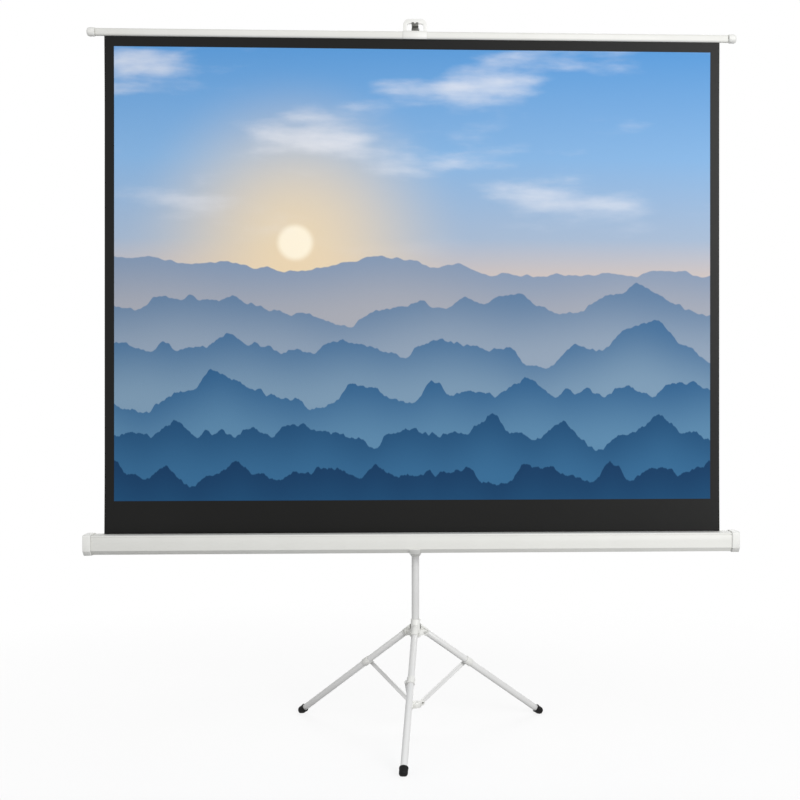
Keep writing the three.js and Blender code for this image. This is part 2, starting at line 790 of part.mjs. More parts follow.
// Case with its end caps, and the spring roller inside it
function buildCase(root) {
  const housing = groupAt(root, 0, caseY, caseCenterZ);
  const bodyHalf = caseLength / 2 - capPlate - runningGap;
  add(housing, 'case_body', caseBodySolid(bodyHalf), materials.caseWhite);
  add(housing, 'case_end_cap_right', endCapSolid(1, bodyHalf), materials.whitePlastic);
  add(housing, 'case_end_cap_left', endCapSolid(-1, bodyHalf), materials.whitePlastic);

  const rollerHalf = bodyHalf - capBossLength - rollerEndGap - plugFlange;
  const rollerShell = tube('x', rollerRadius, rollerRadius - rollerWall, -rollerHalf, rollerHalf);
  add(housing, 'roller_tube', rollerShell, materials.steel);
  const plugRadius = rollerRadius - rollerWall - slideGap;
  const plugBore = arborRadius + runningGap;
  const plugFace = rollerHalf + runningGap;
  const plug = revolve('x', [
    [plugBore, plugFace - plugLength],
    [plugRadius, plugFace - plugLength],
    [plugRadius, plugFace],
    [rollerRadius, plugFace],
    [rollerRadius, plugFace + plugFlange],
    [plugBore, plugFace + plugFlange],
    [plugBore, plugFace - plugLength],
  ], tubeSides);
  add(housing, 'roller_plug_right', plug, materials.whitePlastic);
  const leftPlug = add(housing, 'roller_plug_left', plug.clone(), materials.whitePlastic);
  leftPlug.rotation.z = Math.PI;

  const seatEnd = bodyHalf - capBossLength + shaftSeat;
  const arbor = rod('x', arborRadius, -seatEnd, -seatEnd + arborLength, pinSides);
  add(housing, 'spring_arbor', arbor, materials.steel);
  const idlePin = rod('x', arborRadius, seatEnd - idlePinLength, seatEnd, pinSides);
  add(housing, 'idle_pin', idlePin, materials.steel);
  const springStart = -plugFace + plugLength + springWire + runningGap;
  add(housing, 'roller_spring', springGeometry(springStart), materials.steel);

  const clothRoll = tube('x', rollRadius, rollerRadius + runningGap, -clothWidth / 2, clothWidth / 2);
  add(housing, 'fabric_roll', clothRoll, materials.cloth);
}

// Carriage on the column, and the saddle that grips the case
function buildCarriage(root) {
  const carriage = groupAt(root, 0, 0, caseCenterZ);
  const sleeve = revolve('z', [
    [columnFit, -carriageDown],
    [carriageToe, -carriageDown],
    [carriageRadius, -carriageDown + carriageTaper],
    [carriageRadius, carriageUp - carriageEdge],
    [carriageRadius - carriageEdge, carriageUp],
    [columnFit, carriageUp],
    [columnFit, -carriageDown],
  ], tubeSides);
  const halfBlock = carriageBlockWidth / 2;
  const block = box([-halfBlock, halfBlock], [carriageFront, 0], [-carriageBlockDown, carriageBlockUp]);
  const bossEnd = columnRadius + carriageBossReach;
  const boss = rod('y', knobBossRadius, columnRadius + 2, bossEnd);
  const columnBore = rod('z', columnFit, -2 * carriageDown, 2 * carriageDown, tubeSides);
  const screwBore = rod('y', knobScrewRadius + runningGap, 0, bossEnd + 1, pinSides);
  const boltEnd = carriageFront + pivotBoltReach;
  const boltBore = rod('y', pivotBoltRadius + runningGap, carriageFront - 1, boltEnd + runningGap, pinSides);
  const bracket = cut(join(sleeve, block, boss), columnBore, screwBore, boltBore);
  add(carriage, 'slide_bracket', bracket, materials.whitePlastic);
  add(carriage, 'carriage_knob', clampKnob(columnRadius + runningGap, bossEnd), materials.blackPlastic);

  const halfSaddle = saddleWidth / 2;
  const jacket = solid(alongX(caseOutline(slideGap + saddleWall), -halfSaddle, halfSaddle));
  const caseSpace = alongX(caseOutline(slideGap), -halfSaddle - 1, halfSaddle + 1);
  const lipTop = -caseHeight / 2 + caseChamfer;
  const belowFront = box([-reach, reach], [-caseDepth, caseDepth], [-caseHeight, lipTop]);
  const behind = box([-reach, reach], [caseDepth / 2 - caseRadius, caseDepth], [-caseHeight, saddleRise]);
  const claw = cut(jacket, caseSpace).intersect(join(belowFront, behind)).translate([0, caseY, 0]);
  const pad = rod('y', saddlePadRadius, saddleBack - 1, padBack, tubeSides);
  const seatBack = saddleFront + pivotHeadHeight;
  const headSeat = rod('y', pivotHeadRadius + runningGap, saddleFront - 1, seatBack);
  const padBore = rod('y', pivotBoltRadius + runningGap, saddleFront, padBack + 1, pinSides);
  add(carriage, 'case_saddle', cut(claw.add(solid(pad)), headSeat, padBore), materials.whitePlastic);
  const bolt = join(
    rod('y', pivotHeadRadius, saddleFront, seatBack - runningGap),
    rod('y', pivotBoltRadius, saddleFront + 1, boltEnd, pinSides),
  );
  add(carriage, 'pivot_bolt', bolt, materials.steel);
}

// Slat section in Y and Z: a rounded bar, open below where the cloth goes in
function slatOutline(grow) {
  const side = slatDepth / 2 + grow;
  const end = slatHeight / 2 + grow;
  const round = side - slatFlat / 2;
  const shape = new THREE.Shape();
  shape.moveTo(-side, -end + round);
  shape.absarc(-side + round, -end + round, round, Math.PI, Math.PI * 1.5, false);
  shape.absarc(side - round, -end + round, round, -Math.PI / 2, 0, false);
  shape.absarc(side - round, end - round, round, 0, Math.PI / 2, false);
  shape.absarc(-side + round, end - round, round, Math.PI / 2, Math.PI, false);
  shape.closePath();
  return shape;
}

function slatSolid(half) {
  const outer = solid(alongX(slatOutline(0), -half, half));
  const inner = alongX(slatOutline(-slatWall), -half - 1, half + 1);
  const slit = box(
    [-half - 1, half + 1],
    [-slatSlit / 2, slatSlit / 2],
    [-slatHeight, 0],
  );
  return cut(outer, inner, slit);
}

function slatCap(slatHalf) {
  const outerEnd = slatLength / 2;
  const innerEnd = outerEnd - slatCapLength;
  const dome = revolve('x', [
    [0, innerEnd],
    [slatCapRadius - slatCapEdge, innerEnd],
    [slatCapRadius, innerEnd + slatCapEdge],
    [slatCapRadius, outerEnd - slatCapDome],
    [slatCapRadius - slatCapDome * 0.3, outerEnd - slatCapDome * 0.4],
    [slatCapRadius - slatCapDome * 0.9, outerEnd - slatCapDome * 0.08],
    [0, outerEnd],
  ], tubeSides);
  const seat = alongX(slatOutline(slideGap), innerEnd - 1, slatHalf + runningGap);
  return cut(join(dome), seat);
}

// A flat loop clipped over the slat, with a window that the hook reaches through
function bailSolid() {
  const half = bailWidth / 2;
  const base = slatHeight / 2;
  const top = base + bailHeight;
  const arch = new THREE.Shape();
  arch.moveTo(-half, base - slatDepth / 2);
  arch.lineTo(half, base - slatDepth / 2);
  arch.absarc(half - bailShoulder, top - bailShoulder, bailShoulder, 0, Math.PI / 2, false);
  arch.absarc(bailShoulder - half, top - bailShoulder, bailShoulder, Math.PI / 2, Math.PI, false);
  arch.closePath();
  const windowHalf = half - bailBand;
  const corner = bailShoulder - bailBand;
  const sill = base + bailClip;
  const head = top - bailCrown;
  const opening = new THREE.Path();
  opening.moveTo(windowHalf, sill);
  opening.lineTo(-windowHalf, sill);
  opening.absarc(corner - windowHalf, head - corner, corner, Math.PI, Math.PI / 2, true);
  opening.absarc(windowHalf - corner, head - corner, corner, Math.PI / 2, 0, true);
  opening.closePath();
  arch.holes.push(opening);
  const loop = solid(alongY(arch, -bailThickness / 2, bailThickness / 2, 7));
  const clip = solid(alongX(slatOutline(slideGap + bailClip), -half, half));
  const slatSpace = alongX(slatOutline(slideGap), -half - 1, half + 1);
  const mouth = slatDepth / 2 - bailLip;
  const below = box([-half - 1, half + 1], [-mouth, mouth], [-slatHeight, 0]);
  return cut(loop.add(clip), slatSpace, below);
}

function buildSlat(root) {
  const slat = groupAt(root, 0, clothY, slatBottom + slatHeight / 2);
  const slatHalf = slatLength / 2 - slatCapLength + slatCapSeat;
  add(slat, 'top_slat', slatSolid(slatHalf), materials.whitePaint);
  const cap = slatCap(slatHalf);
  add(slat, 'slat_cap_right', cap, materials.whitePlastic);
  add(slat, 'slat_cap_left', cap.mirror([1, 0, 0]), materials.whitePlastic);
  add(slat, 'slat_bail', bailSolid(), materials.whitePlastic);
}

// Cloth from the roll up to its hem, which hangs on the lips of the slat's slit
function buildCloth(root) {
  const half = clothThickness / 2;
  const hemBottom = slatBottom + slatWall + hemLift;
  const hemTop = hemBottom + hemHeight;
  const section = new THREE.Shape();
  section.moveTo(-half, caseCenterZ);
  section.lineTo(half, caseCenterZ);
  section.lineTo(half, hemBottom);
  section.lineTo(hemDepth / 2, hemBottom);
  section.lineTo(hemDepth / 2, hemTop);
  section.lineTo(-hemDepth / 2, hemTop);
  section.lineTo(-hemDepth / 2, hemBottom);
  section.lineTo(-half, hemBottom);
  section.closePath();
  const cloth = alongX(section, -clothWidth / 2, clothWidth / 2).translate(0, clothY, 0);
  add(root, 'screen_fabric', cloth, materials.cloth);
}

// The origin is on the floor, under the middle of the whole object
const screen = new THREE.Group();
const model = groupAt(screen);
buildStand(model);
buildColumn(model);
buildMast(model);
buildCase(model);
buildCarriage(model);
buildSlat(model);
buildCloth(model);
screen.updateMatrixWorld(true);
const footprint = new THREE.Box3().setFromObject(screen, true).getCenter(new THREE.Vector3());
model.position.set(-footprint.x, -footprint.y, 0);
screen.updateMatrixWorld(true);

export default screen;
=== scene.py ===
"""Tripod projection screen: looks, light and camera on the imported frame."""
import json
import math

import bmesh
import bpy
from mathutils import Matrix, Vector


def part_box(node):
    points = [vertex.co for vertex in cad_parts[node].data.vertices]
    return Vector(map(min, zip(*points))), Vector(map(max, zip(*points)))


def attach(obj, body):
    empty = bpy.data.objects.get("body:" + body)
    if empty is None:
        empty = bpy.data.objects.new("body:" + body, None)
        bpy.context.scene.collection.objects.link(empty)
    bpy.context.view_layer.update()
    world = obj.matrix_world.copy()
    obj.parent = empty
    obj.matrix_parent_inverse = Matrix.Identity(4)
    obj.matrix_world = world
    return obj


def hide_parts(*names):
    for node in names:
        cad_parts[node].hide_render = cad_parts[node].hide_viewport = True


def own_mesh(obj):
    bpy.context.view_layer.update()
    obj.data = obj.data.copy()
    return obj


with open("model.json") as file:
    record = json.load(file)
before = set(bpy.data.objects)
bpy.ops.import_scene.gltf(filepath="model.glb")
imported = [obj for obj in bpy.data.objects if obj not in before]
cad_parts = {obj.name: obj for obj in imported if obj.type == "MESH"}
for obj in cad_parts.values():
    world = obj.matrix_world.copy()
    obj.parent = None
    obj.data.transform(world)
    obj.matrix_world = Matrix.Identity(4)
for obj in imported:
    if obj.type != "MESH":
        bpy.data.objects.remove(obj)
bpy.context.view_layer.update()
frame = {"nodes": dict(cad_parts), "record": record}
nodes = frame["nodes"]

# Cloth sizes in metres, on the plane and between the heights that the CAD model gives
CLOTH_LOW, CLOTH_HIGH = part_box("screen_fabric")
CASE_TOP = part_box("case_body")[1].z
SLAT_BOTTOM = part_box("top_slat")[0].z
CLOTH_Y = (CLOTH_LOW.y + CLOTH_HIGH.y) / 2
CLOTH_HALF = CLOTH_HIGH.x
CLOTH_THICKNESS = 0.0008
SIDE_BORDER = 0.027
TOP_BORDER = 0.029
BOTTOM_BORDER = 0.093
HEM_IN_SLAT = 0.005
SEAM_RISE = 0.8025
SEAM_LAP = 0.016
PICTURE_TOP = SLAT_BOTTOM - TOP_BORDER
PICTURE_BOTTOM = CASE_TOP + BOTTOM_BORDER
PICTURE_HALF = CLOTH_HALF - SIDE_BORDER
SEAM = CASE_TOP + SEAM_RISE

# The hung sheets: their mesh, how thin they get in the lap, and their slack between slat and case
CLOTH_COLUMNS = 72
CLOTH_ROW_HEIGHT = 0.025
LAP_THINNING = 0.98
SAME_HEIGHT = 1e-6
SLACK_FADE = 0.25
RIPPLE_DEPTH = 0.0012
RIPPLE_RATE = 9.0
RIPPLE_PHASE = 1.3
RIPPLE_BEAT = 2.1
CURL_DEPTH = 0.004
CURL_POWER = 6

# The turns left on the roller, and the motor spring
ROLL_TURNS = 2
ROLL_STEPS = 48
ROLL_THICKNESS = 0.0003
ROLL_INNER_GAP = 0.0001
ROLL_OUTER_GAP = 0.0003
SPRING_TURNS = 20
SPRING_STEPS = 20
SPRING_SIDES = 8
SPRING_RADIUS = 0.006
SPRING_WIRE = 0.00118

# Softened edges of the CAD pieces
WELD_DISTANCE = 0.0001
EDGE_ANGLE = math.radians(33)
EDGE_WIDTH = 0.0004
EDGE_SEGMENTS = 2

# Paint, plastic and steel: dust and painted shade where pieces meet, unevenness in colour and gloss, and
# how the grain is drawn out
CORNER_REACH = 0.006
CORNER_SAMPLES = 6
CORNER_OPEN = 0.8
CORNER_CLOSED = 0.3
DUST_AND_SHADE_SHARE = 0.8
DUST_AND_SHADE_SCALE = 220.0
TONE_SCALE = 9.0
GLOSS_SCALE = 40.0
GLOSS_BELOW = 0.05
GLOSS_ABOVE = 0.06
GRAIN_STRENGTH = 0.4
COAT_ROUGHNESS = 0.2
# Corner colour of white paint and lacquer, darker than them: painted shade as well as dust
PALE_DUST_AND_SHADE = "a9a7a1"
EVEN = (1.0, 1.0, 1.0)
ALONG_X = (0.02, 1.0, 1.0)
ALONG_Z = (1.0, 1.0, 0.01)
STEEL_STREAK = (0.05, 1.0, 1.0)

# Rubber: how high the floor's dust reaches
FLOOR_DUST_HEIGHT = 0.012

# Cloth: width of two threads, and how deep the weave is
THREAD_PAIR = 0.0014
WEAVE_DEPTH = 0.0001

# The picture, in shares of its width from its middle and of its height from its foot
SKY_STOPS = [(0.46, "d9c3b2"), (0.58, "a5b8d0"), (0.76, "86b2de"), (1.0, "5a98d4")]
SUN_LEFT = 0.2
SUN_HEIGHT = 0.57
SUN_RIM = (0.035, 0.022)
SUN_COLOR = "fff4dc"
GLOW_REACH = 0.3
GLOW_SHARE = 0.8
GLOW_COLOR = "f6dcae"
CLOUD_RATE_ACROSS = 3.2
CLOUD_RATE_UP = 8.5
CLOUD_DETAIL = 7.0
CLOUD_RANGE = (0.5, 0.74)
CLOUD_HEIGHTS = (0.5, 0.72)
CLOUD_SHARE = 0.75
CLOUD_COLOR = "e9eaf0"
RIDGE_DETAIL = 5.0
RIDGE_SHARE = 2.4
RIDGE_RIM = (-0.0012, 0.0018)
MIST_DETAIL = 0.0
MIST_SHARE = 0.7
MIST_RANGE = (-0.05, 0.13)
# Foot, height and waves of each range of hills, where its noise starts, its colour and its mist's
HILL_RANGES = [
    (0.51, 0.09, 3.0, 1.7, "7d94b2", "a9abb4"),
    (0.43, 0.10, 4.2, 6.1, "5c7c9f", "93a3b6"),
    (0.34, 0.09, 5.6, 11.4, "426c95", "7d9ab3"),
    (0.24, 0.08, 7.5, 17.9, "2d5d89", "5d89ab"),
    (0.15, 0.07, 10.0, 23.3, "1c4972", "386c95"),
    (0.06, 0.05, 14.0, 31.6, "10365c", "1f5078"),
]
BORDER_BLUR = 0.0004
BORDER_ROUGHNESS = 0.42
PICTURE_ROUGHNESS = 0.8

# Floor and world: the share of white with which they light the object, and how clear the floor
# is to the camera, from near the column out to where it is fully clear
FLOOR_HALF = 30
DIM_SHARE = 0.4
CLEAR_SHARE = 0.8
CLEAR_NEAR = 0.8
CLEAR_FAR = 2.4
WHITE = (1.0, 1.0, 1.0, 1.0)
# Name, place, target, size and power of each lamp
LAMPS = [
    ("key", (3.2, -5.6, 2.7), (0.0, 0.0, 0.9), (3.0, 3.0), 300.0),
    ("fill", (-3.2, -2.6, 2.2), (0.0, 0.0, 1.0), (2.6, 2.6), 30.0),
    ("back", (0.5, 3.4, 3.0), (0.0, 0.0, 1.0), (3.0, 2.0), 70.0),
]

# Camera: level, at the height and turn that the photograph shows
CAMERA_PLACE = (0.081, -3.705, 1.038)
CAMERA_AIM = (0.0434, 0.9991, 0.0)
CAMERA_SENSOR = 36.0
CAMERA_LENS = 58.73
CAMERA_SHIFT = (-0.125, -0.032)
CAMERA_REACH = 200.0


class Graph:
    """The node tree of a material or of the world, with short calls for the nodes used here."""

    def __init__(self, owner):
        owner.use_nodes = True
        self.owner = owner
        self.tree = owner.node_tree
        self.shader = self.tree.nodes.get("Principled BSDF") or self.tree.nodes["Background"]

    def put(self, socket, value):
        if isinstance(value, bpy.types.NodeSocket):
            self.tree.links.new(value, socket)
        else:
            socket.default_value = value

    def set(self, **values):
        """Values or links for the shader's own sockets."""
        for name, value in values.items():
            self.put(self.shader.inputs[name.replace("_", " ")], value)

    def node(self, kind, settings=None, inputs=None):
        made = self.tree.nodes.new(kind)
        for name, value in (settings or {}).items():
            setattr(made, name, value)
        for key, value in (inputs or {}).items():
            self.put(made.inputs[key], value)
        return made

    def math(self, operation, first, second=0.0):
        return self.node("ShaderNodeMath", {"operation": operation}, {0: first, 1: second}).outputs[0]

    def step(self, value, low, high):
        """0 at low and 1 at high, with a smooth change between."""
        limits = {"Value": value, "From Min": low, "From Max": high}
        made = self.node("ShaderNodeMapRange", {"interpolation_type": "SMOOTHSTEP"}, limits)
        return made.outputs["Result"]

    def spread(self, value, low, high, start=0.0, end=1.0):
        """A value between start and end, brought to between low and high."""
        limits = {"From Min": start, "From Max": end, "To Min": low, "To Max": high}
        return self.node("ShaderNodeMapRange", None, {"Value": value, **limits}).outputs["Result"]

    def mix(self, factor, first, second):
        made = self.node("ShaderNodeMix", {"data_type": "RGBA"}, {0: factor, 6: first, 7: second})
        return made.outputs[2]

    def ramp(self, factor, stops):
        made = self.node("ShaderNodeValToRGB", None, {"Fac": factor})
        elements = made.color_ramp.elements
        while len(elements) < len(stops):
            elements.new(0.5)
        for element, (position, color) in zip(elements, stops):
            element.position = position
            element.color = rgb(color)
        return made.outputs["Color"]

    def noise(self, scale, detail=2.0, vector=None):
        inputs = {"Scale": scale, "Detail": detail, "Vector": vector or self.place()}
        return self.node("ShaderNodeTexNoise", None, inputs).outputs["Fac"]

    def wave(self, along, detail):
        """Noise along a line, for the outline of a range of hills."""
        inputs = {"W": along, "Scale": 1.0, "Detail": detail}
        return self.node("ShaderNodeTexNoise", {"noise_dimensions": "1D"}, inputs).outputs["Fac"]

    def place(self, owner=None):
        """A point of the surface in the piece's own frame, or in that of another object."""
        return self.node("ShaderNodeTexCoord", {"object": owner}).outputs["Object"]

    def axes(self, vector):
        return self.node("ShaderNodeSeparateXYZ", None, {"Vector": vector}).outputs

    def scaled(self, scale):
        inputs = {"Vector": self.place(), "Scale": scale}
        return self.node("ShaderNodeMapping", None, inputs).outputs["Vector"]

    def bump(self, height, strength, distance):
        inputs = {"Strength": strength, "Distance": distance, "Height": height}
        self.set(Normal=self.node("ShaderNodeBump", None, inputs).outputs["Normal"])

    def seen_directly(self):
        """1 where the camera, a mirror-like surface or a clear one looks, 0 for all other light."""
        path = self.node("ShaderNodeLightPath").outputs
        bounced = self.math("MAXIMUM", path["Is Glossy Ray"], path["Is Transmission Ray"])
        return self.math("MAXIMUM", path["Is Camera Ray"], bounced)


def new_graph(name):
    return Graph(bpy.data.materials.new(name))


def rgb(text):
    """A colour written as on a screen, turned into the linear values that shaders take."""
    parts = [int(text[i : i + 2], 16) / 255 for i in (0, 2, 4)]
    linear = [p / 12.92 if p <= 0.04045 else ((p + 0.055) / 1.055) ** 2.4 for p in parts]
    return (*linear, 1.0)


def clamp(value, low=0.0, high=1.0):
    return min(max(value, low), high)


def painted(name, light, dark, dust_and_shade_colour, roughness, grain, depth, coat=0.0, specular=0.5, stretch=EVEN):
    """Paint, lacquer or moulded plastic: a little uneven in colour and gloss, with a fine surface.

    Corners where pieces meet are dulled and take painted shade on white, paler dust on grey and black.
    """
    g = new_graph(name)
    reach = {"Distance": CORNER_REACH}
    # Painted shade on white, dust on grey and black: ambient occlusion finds the corners that take it
    corner = g.node("ShaderNodeAmbientOcclusion", {"samples": CORNER_SAMPLES}, reach).outputs["AO"]
    patches = g.math("MULTIPLY", g.noise(DUST_AND_SHADE_SCALE, detail=3.0), DUST_AND_SHADE_SHARE)
    patchy_share = g.math("MULTIPLY", g.step(corner, CORNER_OPEN, CORNER_CLOSED), patches)
    clean = g.mix(g.noise(TONE_SCALE, detail=3.0), rgb(light), rgb(dark))
    dullness = g.math("ADD", g.noise(GLOSS_SCALE), patchy_share)
    g.set(Base_Color=g.mix(patchy_share, clean, rgb(dust_and_shade_colour)))
    g.set(Roughness=g.spread(dullness, roughness - GLOSS_BELOW, roughness + GLOSS_ABOVE))
    g.set(Coat_Weight=coat, Coat_Roughness=COAT_ROUGHNESS, Specular_IOR_Level=specular)
    g.bump(g.noise(grain, vector=g.scaled(stretch)), GRAIN_STRENGTH, depth)
    return g.owner


def steel(name):
    """Bright steel with fine drawing marks along X."""
    g = new_graph(name)
    streaks = g.noise(scale=900.0, vector=g.scaled(STEEL_STREAK))
    g.set(Base_Color=g.mix(streaks, rgb("c9c9c5"), rgb("a9a9a6")), Metallic=1.0)
    g.set(Roughness=g.spread(streaks, low=0.22, high=0.38))
    g.bump(streaks, strength=0.1, distance=0.0001)
    return g.owner


def rubber(name):
    """Black rubber, dusty where it meets the floor."""
    g = new_graph(name)
    low = g.step(g.axes(g.place())["Z"], FLOOR_DUST_HEIGHT, 0.0)
    patchy_share = g.math("MULTIPLY", low, g.noise(scale=160.0, detail=4.0))
    g.set(Base_Color=g.mix(patchy_share, rgb("0d0d0d"), rgb("2c2a28")))
    g.set(Roughness=0.65, Specular_IOR_Level=0.2)
    g.bump(g.noise(scale=1500.0, detail=3.0), strength=0.3, distance=0.0002)
    return g.owner


def weave(g, strength):
    """The plain weave of coated cloth, one thread every 0.7 mm."""
    axes = g.axes(g.place())
    across, along = [
        g.math("SINE", g.math("MULTIPLY", axes[axis], 2 * math.pi / THREAD_PAIR)) for axis in "XZ"
    ]
    g.bump(g.math("MULTIPLY", across, along), strength, WEAVE_DEPTH)


def black_cloth(name):
    """The coated back of the cloth."""
    g = new_graph(name)
    shade = g.noise(scale=6.0, detail=4.0)
    g.set(Base_Color=g.mix(shade, rgb("161615"), rgb("1c1c1a")), Roughness=0.6)
    g.set(Specular_IOR_Level=0.2, Sheen_Weight=0.05, Sheen_Roughness=0.4)
    weave(g, strength=0.35)
    return g.owner


def dawn_sky(g, u, v):
    """A clear sky with a low sun and thin clouds."""
    tall = PICTURE_TOP - PICTURE_BOTTOM
    east = g.math("ADD", u, SUN_LEFT)
    rise = g.math("MULTIPLY", g.math("SUBTRACT", v, SUN_HEIGHT), tall / (2 * PICTURE_HALF))
    squares = g.math("ADD", g.math("MULTIPLY", east, east), g.math("MULTIPLY", rise, rise))
    away = g.math("SQRT", squares)
    glow = g.math("MULTIPLY", g.step(away, GLOW_REACH, 0.0), GLOW_SHARE)
    sky = g.mix(glow, g.ramp(v, SKY_STOPS), rgb(GLOW_COLOR))
    sky = g.mix(g.step(away, *SUN_RIM), sky, rgb(SUN_COLOR))

    drift = {"X": g.math("MULTIPLY", u, CLOUD_RATE_ACROSS), "Y": g.math("MULTIPLY", v, CLOUD_RATE_UP)}
    banks = g.noise(1.0, CLOUD_DETAIL, g.node("ShaderNodeCombineXYZ", None, drift).outputs["Vector"])
    cover = g.math("MULTIPLY", g.step(banks, *CLOUD_RANGE), g.step(v, *CLOUD_HEIGHTS))
    return g.mix(g.math("MULTIPLY", cover, CLOUD_SHARE), sky, rgb(CLOUD_COLOR))


def hills(g, view, u, v):
    """Ranges of hills in front of each other, each with mist at its foot."""
    for foot, height, waves, offset, ridge, mist in HILL_RANGES:
        along = g.math("ADD", g.math("MULTIPLY", u, waves), offset)
        below = []
        for detail, share in ((RIDGE_DETAIL, RIDGE_SHARE), (MIST_DETAIL, MIST_SHARE)):
            lift = g.math("MULTIPLY", g.math("SUBTRACT", g.wave(along, detail), 0.5), share * height)
            below.append(g.math("SUBTRACT", g.math("ADD", lift, foot), v))
        below_ridge, in_mist = below
        tone = g.mix(g.step(in_mist, *MIST_RANGE), rgb(ridge), rgb(mist))
        view = g.mix(g.step(below_ridge, *RIDGE_RIM), view, tone)
    return view


def picture_material(name):
    """White screen cloth with projector light painted into its colour, misty hills at dawn, inside a
    black border.

    The picture is laid out in the slat's frame, so it hangs from the slat however far the cloth
    is drawn out.
    """
    g = new_graph(name)
    axes = g.axes(g.place(nodes["top_slat"]))
    x = axes["X"]
    z = axes["Z"]
    u = g.math("DIVIDE", x, 2 * PICTURE_HALF)
    v = g.math("DIVIDE", g.math("SUBTRACT", z, PICTURE_BOTTOM), PICTURE_TOP - PICTURE_BOTTOM)
    # Painted projector light: the picture is the cloth's colour, standing in for the light a projector
    # throws on it
    view = hills(g, dawn_sky(g, u, v), u, v)

    beside = g.step(g.math("ABSOLUTE", x), PICTURE_HALF + BORDER_BLUR, PICTURE_HALF - BORDER_BLUR)
    above = g.step(z, PICTURE_BOTTOM - BORDER_BLUR, PICTURE_BOTTOM + BORDER_BLUR)
    under = g.step(z, PICTURE_TOP + BORDER_BLUR, PICTURE_TOP - BORDER_BLUR)
    inside = g.math("MULTIPLY", beside, g.math("MULTIPLY", above, under))
    border = g.mix(g.noise(scale=5.0, detail=4.0), rgb("0c0c0b"), rgb("121211"))
    g.set(Base_Color=g.mix(inside, border, view))
    g.set(Roughness=g.spread(inside, BORDER_ROUGHNESS, PICTURE_ROUGHNESS), Specular_IOR_Level=0.15)
    weave(g, strength=0.25)
    return g.owner


def add_object(name, data):
    made = bpy.data.objects.new(name, data)
    bpy.context.scene.collection.objects.link(made)
    return made


def finish_mesh(name, bm, materials):
    mesh = bpy.data.meshes.new(name)
    bm.to_mesh(mesh)
    bm.free()
    for material in materials:
        mesh.materials.append(material)
    return add_object(name, mesh)


def finish_node(made, material):
    """A CAD piece with its material, smooth faces and softened edges."""
    made.data.materials.clear()
    made.data.materials.append(material)
    made.data.polygons.foreach_set("use_smooth", [True] * len(made.data.polygons))
    weld = made.modifiers.new("weld", "WELD")
    weld.merge_threshold = WELD_DISTANCE
    edge = made.modifiers.new("edge", "BEVEL")
    edge.limit_method = "ANGLE"
    edge.angle_limit = EDGE_ANGLE
    edge.width = EDGE_WIDTH
    edge.segments = EDGE_SEGMENTS
    edge.harden_normals = True


def cloth_rows(bottom, top):
    """Heights of a sheet's rows, with one at each end of the lap where the two sheets meet."""
    marks = sorted({bottom, top, clamp(SEAM, bottom, top), clamp(SEAM + SEAM_LAP, bottom, top)})
    rows = [marks[0]]
    for low, high in zip(marks, marks[1:]):
        count = max(1, round((high - low) / CLOTH_ROW_HEIGHT))
        rows += [low + (high - low) * step / count for step in range(1, count + 1)]
    return rows


def cloth_point(x, z, side, lap_side):
    """A point of a sheet's front (-1) or back (1), with the faint ripple of hung cloth."""
    offset = side * CLOTH_THICKNESS / 2
    if side == lap_side:
        lap = clamp((z - SEAM) / SEAM_LAP)
        thinned = lap if side < 0 else 1.0 - lap
        offset -= side * LAP_THINNING * CLOTH_THICKNESS * thinned
    held = clamp(min(z - CASE_TOP, SLAT_BOTTOM - z) / SLACK_FADE)
    slack = math.sin(math.pi / 2 * held)
    wave = math.sin(RIPPLE_RATE * x + RIPPLE_PHASE) * math.cos(RIPPLE_BEAT * x)
    curl = CURL_DEPTH * slack * (abs(x) / CLOTH_HALF) ** CURL_POWER
    return (x, CLOTH_Y + RIPPLE_DEPTH * slack * wave + curl + offset, z)


def cover_side(bm, grid, index):
    """The faces of a sheet's front (0) or back (1), which take the material of that number."""
    for low, high in zip(grid, grid[1:]):
        for column in range(CLOTH_COLUMNS):
            corners = [low[column], low[column + 1], high[column + 1], high[column]]
            face = bm.faces.new(corners if index == 0 else corners[::-1])
            face.material_index = index
            face.smooth = True


def crease_lap(bm, grid, rows):
    """A sharp line at each end of the lap, where it runs across the sheet."""
    for line, z in list(zip(grid, rows))[1:-1]:
        if min(abs(z - SEAM), abs(z - SEAM - SEAM_LAP)) < SAME_HEIGHT:
            for first, second in zip(line, line[1:]):
                bm.edges.get((first, second)).smooth = False


def close_rim(bm, layers):
    """The cut edge all round, on points of its own so that it stays sharp."""
    right = CLOTH_COLUMNS
    top = len(layers[0]) - 1
    rim = [(0, column) for column in range(right)] + [(row, right) for row in range(top)]
    rim += [(top, column) for column in range(right, 0, -1)] + [(row, 0) for row in range(top, 0, -1)]
    front, back = [[bm.verts.new(grid[row][column].co) for row, column in rim] for grid in layers]
    for first in range(len(rim)):
        second = (first + 1) % len(rim)
        edge = bm.faces.new([front[first], back[first], back[second], front[second]])
        edge.material_index = 1


def cloth_sheet(name, bottom, top, lap_side, materials):
    """A taut sheet as thick as the cloth, with its picture side to -Y.

    In the lap the sheet thins to an edge on its front (-1) or its back (1), so that the two sheets
    lie flush in front and still cover each other when the slat is lifted.
    """
    rows = cloth_rows(bottom, top)
    columns = [-CLOTH_HALF + 2 * CLOTH_HALF * step / CLOTH_COLUMNS for step in range(CLOTH_COLUMNS + 1)]
    bm = bmesh.new()
    layers = []
    for side in (-1, 1):
        layers.append([[bm.verts.new(cloth_point(x, z, side, lap_side)) for x in columns] for z in rows])
    for index, grid in enumerate(layers):
        cover_side(bm, grid, index)
        crease_lap(bm, grid, rows)
    close_rim(bm, layers)
    return finish_mesh(name, bm, materials)


